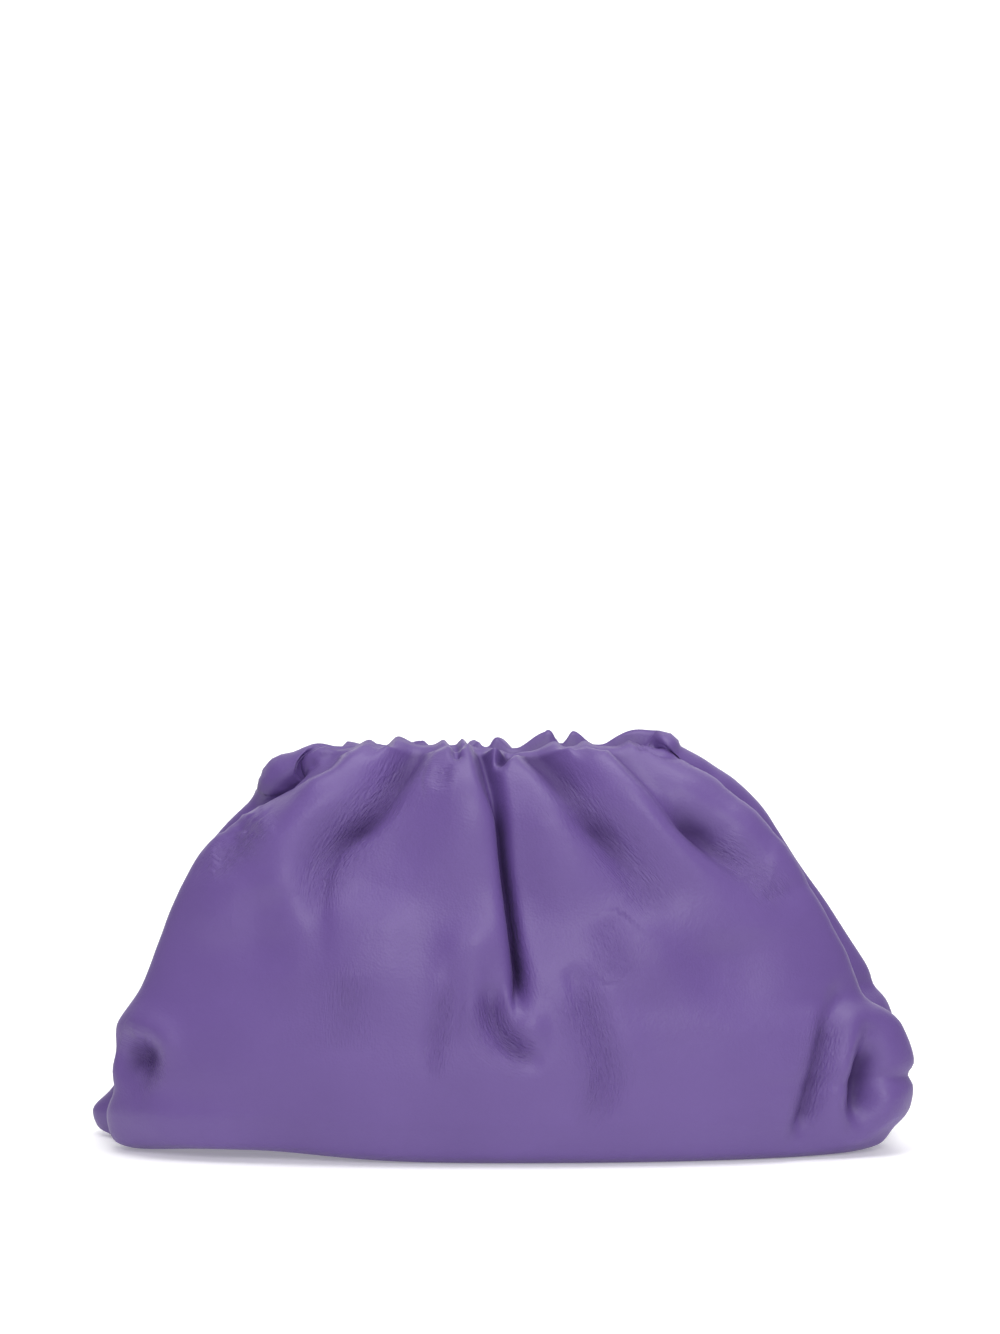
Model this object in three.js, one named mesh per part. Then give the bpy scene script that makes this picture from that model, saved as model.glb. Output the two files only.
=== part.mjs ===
// A soft gathered pouch clutch. Two leather panels, front and back, are sewn together along
// the bottom and up both sides, and their turned-in top edges are gathered onto a flat steel
// frame that holds the mouth in shape. Each panel is a leather wall with a smooth basic form
// and folds pressed into it. Millimetres, +Z up, the front facing -Y, the origin on the floor
// under the middle of the bag.

import * as THREE from "three";

// Overall sizes.
const bagWidth = 360;
const bagHeight = 184;
const bagDepth = 120;

// Leather and seams.
const leather = 1.8;
const seamGap = 0.3;

// The gathered mouth: its reach to the left and right of the middle, the free gap between its
// two lips, how far the leather turns down inside, how far the pleats stand up and out, and
// the share of their rise that is left at the mouth's two ends.
const mouthLeft = 84;
const mouthRight = 70;
const mouthGap = 10;
const hemDepth = 17;
const pleatRise = 9;
const pleatSwell = 7;
const endRise = 0.2;

// The frame strip inside the hem, its clearance to the leather on each side, and the extra
// room at the two ends, where the hem turns round it.
const frameThickness = 2.4;
const frameHeight = 8;
const frameClearance = 0.5;
const endRoom = 1.5;

// The side tuck, where each panel turns in to its side seam: how far from the seam it starts.
const tuckSpread = 16;

// Above this height the leather is free of the floor and may fold.
const floorFree = 4;
const foldGrowth = 14;

// A fold's width at its upper end, as a share of its width at its lower end.
const foldTaper = 0.7;

// Where the front stands a little off the floor: the middle and width of that stretch as shares
// of half the width, and its height and how far up it fades out as shares of the height.
const lift = { middle: -0.62, width: 0.26, height: 0.024, fade: 0.2 };

// Mesh fineness: columns across each panel and how much closer they stand in its middle and at
// its sides, samples along a section, passes to bring a section to its reach, and samples along
// a fold.
const frontColumns = 46;
const backColumns = 36;
const crowding = { middle: 0.9, middleWidth: 0.1, side: 0.8, sideWidth: 0.06 };
const sectionSamples = 240;
const reachPasses = 4;
const foldSamples = 20;

const halfWidth = bagWidth / 2;
const halfDepth = bagDepth / 2;
const channel = frameThickness + 2 * frameClearance;
const hemThickness = channel + 2 * leather;
const endThickness = hemThickness + 2 * endRoom;
const rimTop = bagHeight - pleatRise;
const rimBend = hemThickness / 2;

// A table of rows with named columns.
function table(columns, rows) {
  return rows.map((row) => Object.fromEntries(columns.map((column, i) => [column, row[i]])));
}

// Levels of the bag from the bottom seam up to just under the mouth, as shares: height of
// bagHeight, depth of half of bagDepth, all others of half of bagWidth. Tuck says how far in
// from the panels' middle reach the side seams lie. Square is the exponent of the section's rounded
// outline, and steps the number of mesh rows up to the next level.
const LEVELS = table(
  ["height", "frontLeft", "frontRight", "backLeft", "backRight", "depth", "tuck", "square", "steps"],
  [
    [0.0, 0.6, 0.62, 0.6, 0.62, 0.0, 0.0, 2.2, 3],
    [0.0, 0.84, 0.86, 0.88, 0.86, 0.74, 0.02, 2.2, 1],
    [0.02, 0.93, 0.935, 1.015, 0.965, 0.88, 0.035, 2.2, 1],
    [0.06, 0.955, 0.965, 1.02, 1.005, 0.95, 0.04, 2.2, 1],
    [0.112, 0.965, 0.985, 1.0, 1.03, 1.0, 0.045, 2.2, 2],
    [0.21, 0.96, 0.97, 0.96, 1.025, 1.0, 0.05, 2.2, 2],
    [0.305, 0.94, 0.91, 0.935, 1.0, 0.97, 0.05, 2.2, 2],
    [0.4, 0.875, 0.895, 0.865, 0.945, 0.92, 0.045, 2.2, 2],
    [0.5, 0.835, 0.848, 0.828, 0.875, 0.85, 0.045, 2.2, 2],
    [0.6, 0.789, 0.788, 0.782, 0.805, 0.77, 0.045, 2.25, 2],
    [0.7, 0.722, 0.708, 0.717, 0.724, 0.67, 0.04, 2.3, 2],
    [0.8, 0.608, 0.592, 0.615, 0.625, 0.54, 0.045, 2.5, 2],
    [0.875, 0.515, 0.478, 0.552, 0.508, 0.37, 0.05, 2.8, 2],
  ],
);

// The rim of the mouth, built from the hem's own sizes: outer face, crest and inner face.
// Below is measured from the crest in rim bends, inset from the outer face in hem thicknesses.
const RIM = table(
  ["name", "below", "inset", "square", "steps"],
  [
    ["shoulder", 2.6, -0.5, 3.2, 2],
    ["outer", 1, 0, 3.6, 2],
    ["crest", 0, 0.5, 3.6, 2],
    ["inner", 1, 1, 3.6, 1],
  ],
);

// Folds in a panel, as seen from the front. From, bend and to are the ends and the control
// point of the fold's curve, as shares of half the width and of the height. Depth is a share of
// half of bagDepth, negative for a ridge. Left and right are the fold's widths on its two
// sides, as shares of half the width. Start is the share of the depth that it has at its upper
// end, and hold how far along it keeps its full depth.
const FOLD_COLUMNS = ["name", "from", "bend", "to", "depth", "left", "right", "start", "hold"];

const FRONT_FOLDS = table(FOLD_COLUMNS, [
  ["centre", [-0.045, 1.0], [0.0, 0.68], [0.085, 0.33], 0.17, 0.055, 0.075, 1, 0.65],
  ["centre ridge", [-0.12, 1.0], [-0.08, 0.68], [0.0, 0.36], -0.06, 0.07, 0.05, 1, 0.7],
  ["hook", [-0.02, 0.43], [-0.03, 0.3], [0.14, 0.24], 0.07, 0.06, 0.06, 0, 0.5],
  ["left long", [-0.17, 1.0], [-0.53, 0.76], [-0.39, 0.46], 0.16, 0.07, 0.1, 1, 0.4],
  ["left ridge", [-0.29, 1.0], [-0.62, 0.74], [-0.38, 0.28], -0.07, 0.09, 0.07, 0.6, 0.5],
  ["left outer", [-0.355, 1.0], [-0.47, 0.86], [-0.7, 0.68], 0.15, 0.065, 0.05, 1, 0.7],
  ["right long", [0.075, 1.0], [0.24, 0.81], [0.385, 0.57], 0.16, 0.055, 0.075, 1, 0.4],
  ["right ridge", [0.2, 1.0], [0.48, 0.76], [0.6, 0.5], -0.06, 0.08, 0.07, 0.6, 0.5],
  ["right outer", [0.25, 1.0], [0.44, 0.82], [0.69, 0.63], 0.15, 0.05, 0.065, 1, 0.7],
  ["lower right crease", [0.15, 0.47], [0.31, 0.26], [0.18, 0.06], 0.05, 0.06, 0.08, 0, 0.6],
  ["lower left crease", [-0.115, 0.52], [-0.11, 0.35], [-0.17, 0.16], 0.035, 0.07, 0.06, 0, 0.6],
  ["right corner valley", [0.81, 0.38], [0.8, 0.2], [0.71, 0.04], 0.07, 0.06, 0.06, 0, 0.7],
  ["right corner hollow", [0.93, 0.32], [0.9, 0.18], [0.85, 0.07], 0.12, 0.05, 0.06, 0, 0.6],
  ["left corner pocket", [-0.97, 0.24], [-0.9, 0.26], [-0.8, 0.22], 0.1, 0.06, 0.06, 1, 0.3],
]);

const BACK_FOLDS = table(FOLD_COLUMNS, [
  ["back 1", [-0.36, 1.0], [-0.5, 0.84], [-0.72, 0.62], 0.15, 0.06, 0.07, 1, 0.6],
  ["back 2", [-0.22, 1.0], [-0.36, 0.8], [-0.46, 0.48], 0.15, 0.06, 0.08, 1, 0.5],
  ["back 3", [-0.07, 1.0], [-0.15, 0.8], [-0.16, 0.42], 0.15, 0.06, 0.07, 1, 0.6],
  ["back 4", [0.07, 1.0], [0.09, 0.84], [0.12, 0.62], 0.13, 0.06, 0.06, 1, 0.5],
  ["back 5", [0.2, 1.0], [0.32, 0.78], [0.36, 0.4], 0.15, 0.06, 0.08, 1, 0.5],
  ["back 6", [0.3, 1.0], [0.5, 0.82], [0.68, 0.56], 0.15, 0.06, 0.06, 1, 0.6],
  ["back low left", [-0.5, 0.4], [-0.56, 0.24], [-0.5, 0.08], 0.05, 0.07, 0.09, 0, 0.6],
  ["back low right", [0.52, 0.44], [0.62, 0.26], [0.56, 0.06], 0.05, 0.09, 0.07, 0, 0.6],
]);

// Rolls across the sides, the same on both panels. Side is -1 for left and 1 for right, height
// and width are shares of bagHeight, depth a share of half of bagWidth, and spread how far the
// crease reaches to the front and back, a share of half of bagDepth.
const SIDE_FOLDS = table(
  ["side", "height", "width", "depth", "spread"],
  [
    [1, 0.17, 0.07, 0.035, 0.5],
    [1, 0.4, 0.07, 0.03, 0.5],
    [-1, 0.15, 0.07, 0.03, 0.45],
    [-1, 0.34, 0.07, 0.025, 0.45],
  ],
);

const upward = new THREE.Vector3(0, 0, 1);

const clamp01 = (x) => Math.min(1, Math.max(0, x));

function smoothStep(low, high, x) {
  const t = clamp01((x - low) / (high - low));
  return t * t * (3 - 2 * t);
}

// All levels in millimetres, from the bottom seam to the free end of the hem.
function allLevels() {
  const body = LEVELS.map((row) => ({
    z: row.height * bagHeight,
    frontLeft: row.frontLeft * halfWidth,
    frontRight: row.frontRight * halfWidth,
    backLeft: row.backLeft * halfWidth,
    backRight: row.backRight * halfWidth,
    depth: row.depth * halfDepth,
    seamLeft: ((row.frontLeft + row.backLeft) / 2 - row.tuck) * halfWidth,
    seamRight: ((row.frontRight + row.backRight) / 2 - row.tuck) * halfWidth,
    square: row.square,
    steps: row.steps,
  }));
  const rim = RIM.map((row) => ({
    ...rimOutline(row.inset * hemThickness, row.inset * endThickness, row.square),
    z: rimTop - row.below * rimBend,
    steps: row.steps,
  }));
  const hemEnd = { ...rim.at(-1), z: rimTop - hemDepth, steps: 0 };
  return [...body, ...rim, hemEnd];
}

// The outline round the mouth, set in from the rim's outer face along the lips and at the ends.
function rimOutline(inset, endInset, square) {
  const left = mouthLeft - endInset;
  const right = mouthRight - endInset;
  return {
    frontLeft: left,
    frontRight: right,
    backLeft: left,
    backRight: right,
    depth: mouthGap / 2 + hemThickness - inset,
    seamLeft: left,
    seamRight: right,
    square,
  };
}

// A smooth curve through values at increasing positions, with no overshoot between them.
function monotoneCurve(positions, values) {
  const last = positions.length - 1;
  const span = (i) => positions[i + 1] - positions[i];
  const slope = (i) => (values[i + 1] - values[i]) / span(i);
  const tangents = values.map((_, i) => {
    if (i === 0) return slope(0);
    if (i === last) return slope(last - 1);
    if (slope(i - 1) * slope(i) <= 0) return 0;
    const before = 2 * span(i) + span(i - 1);
    const after = span(i) + 2 * span(i - 1);
    return (before + after) / (before / slope(i - 1) + after / slope(i));
  });
  return (x) => {
    let i = 0;
    while (i < last - 1 && x > positions[i + 1]) i += 1;
    const h = span(i);
    const t = (x - positions[i]) / h;
    const s = 1 - t;
    return (
      values[i] * (1 + 2 * t) * s * s +
      tangents[i] * h * t * s * s +
      values[i + 1] * t * t * (3 - 2 * t) -
      tangents[i + 1] * h * t * t * s
    );
  };
}

const levels = allLevels();

// How far along the panel each level lies, measured up the middle of the panel.
const levelPositions = levels.reduce((found, row, i) => {
  if (i === 0) return [0];
  const before = levels[i - 1];
  return [...found, found[i - 1] + Math.hypot(row.z - before.z, row.depth - before.depth)];
}, []);

const levelCurves = Object.keys(levels[0]).map((column) => [
  column,
  monotoneCurve(levelPositions, levels.map((row) => row[column])),
]);
const crestPosition = levelPositions.at(-3);
const innerPosition = levelPositions.at(-2);

function levelAt(along) {
  return Object.fromEntries(levelCurves.map(([column, curve]) => [column, curve(along)]));
}

// The mesh rows: each level's position and the steps between it and the next.
function rowPositions() {
  const rows = [];
  levels.forEach((row, i) => {
    for (let k = 0; k < row.steps; k += 1) {
      rows.push(THREE.MathUtils.lerp(levelPositions[i], levelPositions[i + 1], k / row.steps));
    }
  });
  return [...rows, levelPositions.at(-1)];
}

// One half of a level's outline, from its left seam to its right one, reaching just as far out
// as the level says. Facing is -1 for the front panel and 1 for the back one.
function sectionAt(along, facing) {
  const level = levelAt(along);
  const left = facing < 0 ? level.frontLeft : level.backLeft;
  const right = facing < 0 ? level.frontRight : level.backRight;
  const power = 2 / level.square;
  const spread = Math.max(Math.min(tuckSpread, 0.35 * level.depth), 1e-6);
  const outline = (reachLeft, reachRight) => {
    const points = [];
    for (let i = 0; i <= sectionSamples; i += 1) {
      const angle = Math.PI * (1 - i / sectionSamples);
      const across = Math.cos(angle);
      const out = level.depth * Math.sin(angle) ** power;
      const tuck = Math.exp(-((out / spread) ** 2));
      const reach = across < 0 ? reachLeft : reachRight;
      const seam = across < 0 ? level.seamLeft : level.seamRight;
      const x = Math.sign(across) * Math.abs(across) ** power * (reach - (reach - seam) * tuck);
      points.push(new THREE.Vector3(x, facing * (out + seamGap / 2), level.z));
    }
    return points;
  };
  let [reachLeft, reachRight] = [left, right];
  let points = outline(left, right);
  for (let pass = 0; pass < reachPasses; pass += 1) {
    reachLeft *= left / -Math.min(...points.map((point) => point.x));
    reachRight *= right / Math.max(...points.map((point) => point.x));
    points = outline(reachLeft, reachRight);
  }
  points.forEach((point) => {
    point.z += liftAt(point);
  });
  return points;
}

function liftAt(point) {
  const aside = (point.x / halfWidth - lift.middle) / lift.width;
  const low = 1 - smoothStep(0, lift.fade * bagHeight, point.z);
  const front = smoothStep(0, halfDepth / 2, -point.y);
  return lift.height * bagHeight * low * front * Math.exp(-(aside ** 2));
}

// Where the columns stand along a section, as shares of its length, from 0 to 1.
function columnShares(count) {
  const reached = [0];
  for (let k = 0; k < count; k += 1) {
    const share = (k + 0.5) / count;
    const fromMiddle = (share - 0.5) / crowding.middleWidth;
    const fromSide = Math.min(share, 1 - share) / crowding.sideWidth;
    const closeness =
      1 + crowding.middle * Math.exp(-(fromMiddle ** 2)) + crowding.side * Math.exp(-(fromSide ** 2));
    reached.push(reached[k] + 1 / closeness);
  }
  return reached.map((value) => value / reached[count]);
}

// Points set along a line at the given shares of its length.
function spacedAlong(points, shares) {
  const lengths = points.map(() => 0);
  for (let i = 1; i < points.length; i += 1) {
    lengths[i] = lengths[i - 1] + points[i].distanceTo(points[i - 1]);
  }
  let i = 0;
  return shares.map((share) => {
    const wanted = lengths.at(-1) * share;
    while (i < points.length - 2 && lengths[i + 1] < wanted) i += 1;
    const part = clamp01((wanted - lengths[i]) / (lengths[i + 1] - lengths[i]));
    return points[i].clone().lerp(points[i + 1], part);
  });
}

// The curve that a fold follows, seen from the front.
function foldCurve(row) {
  const place = ([x, z]) => new THREE.Vector2(x * halfWidth, z * bagHeight);
  const curve = new THREE.QuadraticBezierCurve(place(row.from), place(row.bend), place(row.to));
  return { row, points: curve.getPoints(foldSamples) };
}

// How deep a fold presses into the leather at x and z.
function foldDepth({ row, points }, x, z) {
  let nearest = Infinity;
  let along = 0;
  let side = 0;
  let runLength = 1;
  for (let i = 0; i < foldSamples; i += 1) {
    const run = points[i + 1].clone().sub(points[i]);
    const offset = new THREE.Vector2(x, z).sub(points[i]);
    const share = clamp01(offset.dot(run) / run.lengthSq());
    const away = offset.sub(run.clone().multiplyScalar(share));
    if (away.length() < nearest) {
      nearest = away.length();
      along = (i + share) / foldSamples;
      side = away.x * -run.y + away.y * run.x;
      runLength = run.length();
    }
  }
  const spread = THREE.MathUtils.lerp(foldTaper, 1, along);
  const lean = nearest > 0 ? side / (nearest * runLength) : 0;
  const width = THREE.MathUtils.lerp(row.left, row.right, (1 + lean) / 2) * halfWidth * spread;
  const grown = THREE.MathUtils.lerp(row.start, 1, smoothStep(0, 0.3, along));
  const held = 1 - smoothStep(row.hold, 1, along);
  return row.depth * halfDepth * grown * held * Math.exp(-((nearest / width) ** 2));
}

// How far the leather stands out from its basic form: the pleats swell towards the mouth and
// run over its crest, and the folds press in, but never into the frame's channel nor at the
// floor.
function reliefAt(point, along, acrossShare, curves) {
  if (along >= innerPosition) return 0;
  const crest = smoothStep(rimTop - rimBend, rimTop, point.z);
  const swell = pleatSwell * smoothStep(0.62 * bagHeight, rimTop - hemDepth / 2, point.z);
  const fade = smoothStep(0, 0.05, acrossShare) * smoothStep(0, 0.05, 1 - acrossShare);
  const rise = pleatRise * THREE.MathUtils.lerp(endRise, 1, fade);
  const raised = THREE.MathUtils.lerp(swell, rise, crest);
  const pressed = curves.reduce((sum, curve) => sum + foldDepth(curve, point.x, point.z), 0);
  const sides = SIDE_FOLDS.reduce((sum, row) => sum + sideDepth(row, point), 0);
  const free = smoothStep(floorFree, floorFree + foldGrowth, point.z);
  const room = raised + 3 * hemDepth * smoothStep(0, 3 * hemDepth, rimTop - hemDepth - point.z);
  const wanted = free * (fade * pressed + sides);
  const inward = wanted > 0 ? room * Math.tanh(wanted / room) : wanted;
  return (raised - inward) * (1 - smoothStep(crestPosition, innerPosition, along));
}

function sideDepth(row, point) {
  if (Math.sign(point.x) !== row.side) return 0;
  const up = (point.z / bagHeight - row.height) / row.width;
  const out = point.y / (row.spread * halfDepth);
  return row.depth * halfWidth * Math.exp(-(up * up) - out * out);
}

// The grid of basic points of one panel, and their outward directions. Along a side seam both
// panels share one direction, so that they stay together there.
function basicForm(facing, columns) {
  const rows = rowPositions();
  const shares = columnShares(columns);
  const grid = rows.map((along) => spacedAlong(sectionAt(along, facing), shares));
  const normals = grid.map((row, j) =>
    row.map((_, i) => {
      const right = row[Math.min(i + 1, columns)].clone().sub(row[Math.max(i - 1, 0)]);
      const up = grid[Math.min(j + 1, rows.length - 1)][i].clone().sub(grid[Math.max(j - 1, 0)][i]);
      if (i === 0) return new THREE.Vector3(-up.z, 0, up.x).normalize();
      if (i === columns) return new THREE.Vector3(up.z, 0, -up.x).normalize();
      return right.cross(up).multiplyScalar(-facing).normalize();
    }),
  );
  return { rows, grid, normals };
}

// A panel as one closed wall: an outer and an inner sheet, joined round their edges. Relief
// stands out along the surface's own direction, and past the crest straight up, so that the
// pleats leave the mouth open.
function panelGeometry(facing, columns, folds) {
  const { rows, grid, normals } = basicForm(facing, columns);
  const curves = folds.map(foldCurve);
  const outer = [];
  const inner = [];
  rows.forEach((along, j) => {
    for (let i = 0; i <= columns; i += 1) {
      const relief = reliefAt(grid[j][i], along, i / columns, curves);
      const stands = along > crestPosition ? upward : normals[j][i];
      const surface = grid[j][i].clone().addScaledVector(stands, relief);
      outer.push(surface);
      inner.push(surface.clone().addScaledVector(normals[j][i], -leather));
    }
  });
  return wallGeometry(outer, inner, columns, rows.length - 1, facing < 0);
}

function wallGeometry(outer, inner, columns, rows, outerFirst) {
  const index = [];
  const innerStart = outer.length;
  const at = (i, j) => j * (columns + 1) + i;
  const quad = (a, b, c, d) => {
    if (outerFirst) index.push(a, b, c, a, c, d);
    else index.push(a, c, b, a, d, c);
  };
  for (let j = 0; j < rows; j += 1) {
    for (let i = 0; i < columns; i += 1) {
      const corners = [at(i, j), at(i + 1, j), at(i + 1, j + 1), at(i, j + 1)];
      quad(...corners);
      quad(...corners.map((corner) => corner + innerStart).reverse());
    }
  }
  const edge = (a, b) => quad(b, a, a + innerStart, b + innerStart);
  for (let i = 0; i < columns; i += 1) {
    edge(at(i, 0), at(i + 1, 0));
    edge(at(i + 1, rows), at(i, rows));
  }
  for (let j = 0; j < rows; j += 1) {
    edge(at(0, j + 1), at(0, j));
    edge(at(columns, j), at(columns, j + 1));
  }
  const points = [...outer, ...inner].flatMap((point) => point.toArray());
  return new THREE.BufferGeometry()
    .setAttribute("position", new THREE.Float32BufferAttribute(points, 3))
    .setIndex(index);
}

// The frame: a flat strip bent round the mouth, standing on edge inside the hem.
function frameGeometry() {
  const count = 48;
  const top = rimTop - leather - rimBend;
  const loop = (inset) => {
    const level = rimOutline(inset, inset + endRoom, RIM.at(-1).square);
    const power = 2 / level.square;
    const points = [];
    for (let i = 0; i < sectionSamples; i += 1) {
      const angle = (2 * Math.PI * i) / sectionSamples;
      const across = Math.cos(angle);
      const out = Math.sin(angle);
      const reach = across < 0 ? level.frontLeft : level.frontRight;
      points.push(
        new THREE.Vector3(
          Math.sign(across) * reach * Math.abs(across) ** power,
          Math.sign(out) * level.depth * Math.abs(out) ** power,
          0,
        ),
      );
    }
    const shares = [...Array(count).keys()].map((k) => k / count);
    return spacedAlong([...points, points[0]], shares);
  };
  const outside = loop(leather + frameClearance);
  const inside = loop(leather + frameClearance + frameThickness);
  const rings = [
    [inside, top],
    [outside, top],
    [outside, top - frameHeight],
    [inside, top - frameHeight],
  ];
  const points = rings.flatMap(([ring, z]) => ring.flatMap((point) => [point.x, point.y, z]));
  const index = [];
  for (let ring = 0; ring < rings.length; ring += 1) {
    const next = (ring + 1) % rings.length;
    for (let i = 0; i < count; i += 1) {
      const k = (i + 1) % count;
      const [a, b, c, d] = [ring * count + i, ring * count + k, next * count + k, next * count + i];
      index.push(a, c, b, a, d, c);
    }
  }
  return new THREE.BufferGeometry()
    .setAttribute("position", new THREE.Float32BufferAttribute(points, 3))
    .setIndex(index);
}

const purpleLeather = { color: 0x7a5fa6, roughness: 0.5, metalness: 0 };
const steel = { color: 0xb9bcc2, roughness: 0.35, metalness: 1 };

function piece(name, geometry, finish) {
  const mesh = new THREE.Mesh(geometry, new THREE.MeshStandardMaterial(finish));
  mesh.name = name;
  return mesh;
}

const bag = new THREE.Group();
bag.add(
  piece("front_panel", panelGeometry(-1, frontColumns, FRONT_FOLDS), purpleLeather),
  piece("back_panel", panelGeometry(1, backColumns, BACK_FOLDS), purpleLeather),
  piece("mouth_frame", frameGeometry(), steel),
);

// The whole bag is set so that the middle of its box lies over the origin.
const box = new THREE.Box3().setFromObject(bag);
const middle = box.getCenter(new THREE.Vector3());
bag.position.set(-middle.x, -middle.y, -box.min.z);

export default bag;
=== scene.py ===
"""A gathered leather pouch clutch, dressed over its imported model.

The front and back panels are remade as fine leather walls of nearly the same basic form, with
the folds, gathers, rolls and seams of the photograph. Shapes are worked out in millimetres and
turned into metres when a mesh is made.
"""

import math

import bpy
import numpy as np
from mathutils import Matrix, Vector


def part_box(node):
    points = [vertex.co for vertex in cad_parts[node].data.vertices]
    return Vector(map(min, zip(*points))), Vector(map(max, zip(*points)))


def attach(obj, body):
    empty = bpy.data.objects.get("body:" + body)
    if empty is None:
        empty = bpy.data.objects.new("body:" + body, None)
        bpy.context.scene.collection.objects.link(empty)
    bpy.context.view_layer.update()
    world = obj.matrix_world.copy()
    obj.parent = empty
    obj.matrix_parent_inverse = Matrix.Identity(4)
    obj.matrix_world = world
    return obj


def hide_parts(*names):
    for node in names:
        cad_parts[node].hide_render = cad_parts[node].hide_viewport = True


MM = 0.001

# Sizes of the bag in millimetres, the same as in the model's source. The seam gap, the swell,
# the folds and many widths in the table of levels are the scene's own.
BAG_WIDTH = 360
BAG_HEIGHT = 184
BAG_DEPTH = 120
LEATHER = 1.8
MOUTH_LEFT = 84
MOUTH_RIGHT = 70
MOUTH_GAP = 10
HEM_DEPTH = 17
HEM_THICKNESS = 7
END_THICKNESS = 10
PLEAT_RISE = 9
TUCK_SPREAD = 16

# The seams are closed but for a hair's breadth, so that no light comes through, and the leather
# dips in a little along the side seams.
SEAM_GAP = 0.02
SEAM_DEPTH = 0.9
SEAM_WIDTH = 1.6

# How far the gathered leather swells out under the mouth: along the panel, and at its left and
# right side seams.
PLEAT_SWELL = 13
LEFT_SEAM_SWELL = 4
RIGHT_SEAM_SWELL = 7

# Distances from a side seam as shares of the section: where the leather's direction turns from
# the seam's to its own, where folds begin, where the pleats' rise is full and where their swell
# is.
SEAM_BLEND = 0.03
SEAM_FADE = 0.03
RISE_FADE = 0.035
SWELL_FADE = 0.2

HALF_WIDTH = BAG_WIDTH / 2
HALF_DEPTH = BAG_DEPTH / 2
RIM_TOP = BAG_HEIGHT - PLEAT_RISE
RIM_BEND = HEM_THICKNESS / 2

# Above this height the leather is free of the floor and may fold, and over the next millimetres
# its folds grow to their full depth.
FLOOR_FREE = 2
FOLD_GROWTH = 8

# How suddenly the walls of a fold rise from its bottom, the share of its length over which it
# grows at its upper end, and the depths from which shade is painted into the leather's colour
# and at which that painted shade is darkest.
FOLD_FALL = 1.5
FOLD_START = 0.3
SHADE_START_DEPTH = 4
SHADE_FULL_DEPTH = 13

# How far the left end of the mouth sinks, where that begins and ends as shares of half the
# width, and the share of the height above which it does.
END_DROP = 9
DROP_START = 0.43
DROP_END = 0.57
DROP_ABOVE = 0.75

# The share of the pleats' rise that is left at the two ends of the mouth, the share of the height
# above which the leather swells out, the share of its room that a fold may take before it is held
# back, and how far below the hem that room goes on growing, which is also by how much.
END_RISE = 0.2
SWELL_ABOVE = 0.62
ROOM_SHARE = 0.75
ROOM_GROWTH = 3 * HEM_DEPTH

# The tucks at the side seams: how far they spread at most as a share of a level's depth, and the
# share of a tuck below which a place counts as free of it.
TUCK_SHARE = 0.35
TUCK_FREE = 0.5

# Fine wrinkles: the distance between two of them, their depth, and the share of a patch's length
# over which they fade at each end.
WRINKLE_PITCH = 5
WRINKLE_DEPTH = 0.12
PATCH_FADE = 0.25

# Puckers along the side seams: their distance, their depth, how far they reach to the front and
# back, and the shares of the height at which they begin and are full.
PUCKER_PITCH = 13
PUCKER_DEPTH = 2.2
PUCKER_REACH = 9
PUCKER_START = 0.42
PUCKER_FULL = 0.55

# Where the rolls across the sides begin and are full, as shares of half the width.
SIDE_START = 0.5
SIDE_FULL = 0.8

# Where the front stands a little off the floor: the middle and width of that stretch as shares
# of half the width, and its height and how far up it fades out as shares of the height.
LIFT_MIDDLE = -0.62
LIFT_WIDTH = 0.26
LIFT_HEIGHT = 0.024
LIFT_FADE = 0.2

# Mesh fineness: columns across a panel, how much closer they stand in its middle and at its
# sides, the distance between rows on the body and over the rim, and the samples of a section's
# outline and of a fold's path.
COLUMNS = 290
MIDDLE_CROWDING = 0.6
MIDDLE_WIDTH = 0.12
SIDE_CROWDING = 0.7
SIDE_WIDTH = 0.06
BODY_STEP = 1.9
RIM_STEP = 1.3
SECTION_SAMPLES = 600
FOLD_SAMPLES = 40

# With how many neighbours on each side a sample of a path is evened out, and how many times a
# section's reach is fitted to its width.
FOLD_SMOOTHING = 2
REACH_PASSES = 6

# A length and a vector's length, in millimetres, that stand in for zero in a division.
LEAST_LENGTH = 1e-6
LEAST_NORM = 1e-9

# How far from a fold the leather that leans over it begins, and how far its lean reaches.
LEAN_RISE = 4
LEAN_REACH = 14


def table(columns, rows):
    """Rows of values as dictionaries with named columns."""
    return [dict(zip(columns, row)) for row in rows]


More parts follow.
